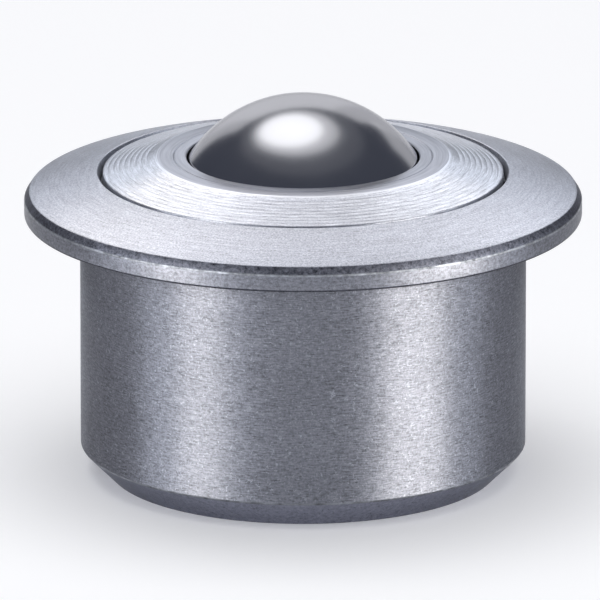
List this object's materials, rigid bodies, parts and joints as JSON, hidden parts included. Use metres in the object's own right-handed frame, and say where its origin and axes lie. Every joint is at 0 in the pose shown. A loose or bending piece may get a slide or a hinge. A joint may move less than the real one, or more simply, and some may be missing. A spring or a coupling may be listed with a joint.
{
  "type": "ball transfer unit",
  "caption": "Flanged drop-in ball transfer unit: a large steel ball held under a flush cap rolls freely on small balls in a turned round housing.",
  "frame": {"origin": "on the axis, in the plane of the flange's underside, which rests on the plate", "axes": "+Z along the axis, up towards the large ball; the body points down"},
  "size_m": [0.045, 0.045, 0.0311],
  "materials": {
    "turned_steel": "satin turned",
    "cap_steel": "fine turned",
    "ball_steel": "polished",
    "hardened_steel": "ground",
    "keeper_polymer": "moulded",
    "felt": "pressed felt",
    "spring_steel": "drawn wire"
  },
  "bodies": {
    "housing": {"housing": "turned_steel", "raceway_cup": "hardened_steel", "keeper_ring": "keeper_polymer", "felt_seal": "felt", "retaining_cap": "cap_steel", "snap_ring": "spring_steel"},
    "support_balls": {"support_balls_row_0": "ball_steel", "support_balls_row_1": "ball_steel", "support_balls_row_2": "ball_steel", "support_balls_row_3": "ball_steel", "support_balls_row_4": "ball_steel"},
    "main_ball": {"main_ball": "ball_steel"}
  },
  "joints": [
    {"name": "support_balls_turn", "type": "hinge", "parent": "housing", "child": "support_balls", "pos_m": [0, 0, -0.0012], "axis": [0, 0, 1], "continuous": true},
    {"name": "main_ball_roll", "type": "hinge", "parent": "support_balls", "child": "main_ball", "pos_m": [0, 0, -0.0012], "axis": [1, 0, 0], "continuous": true}
  ]
}
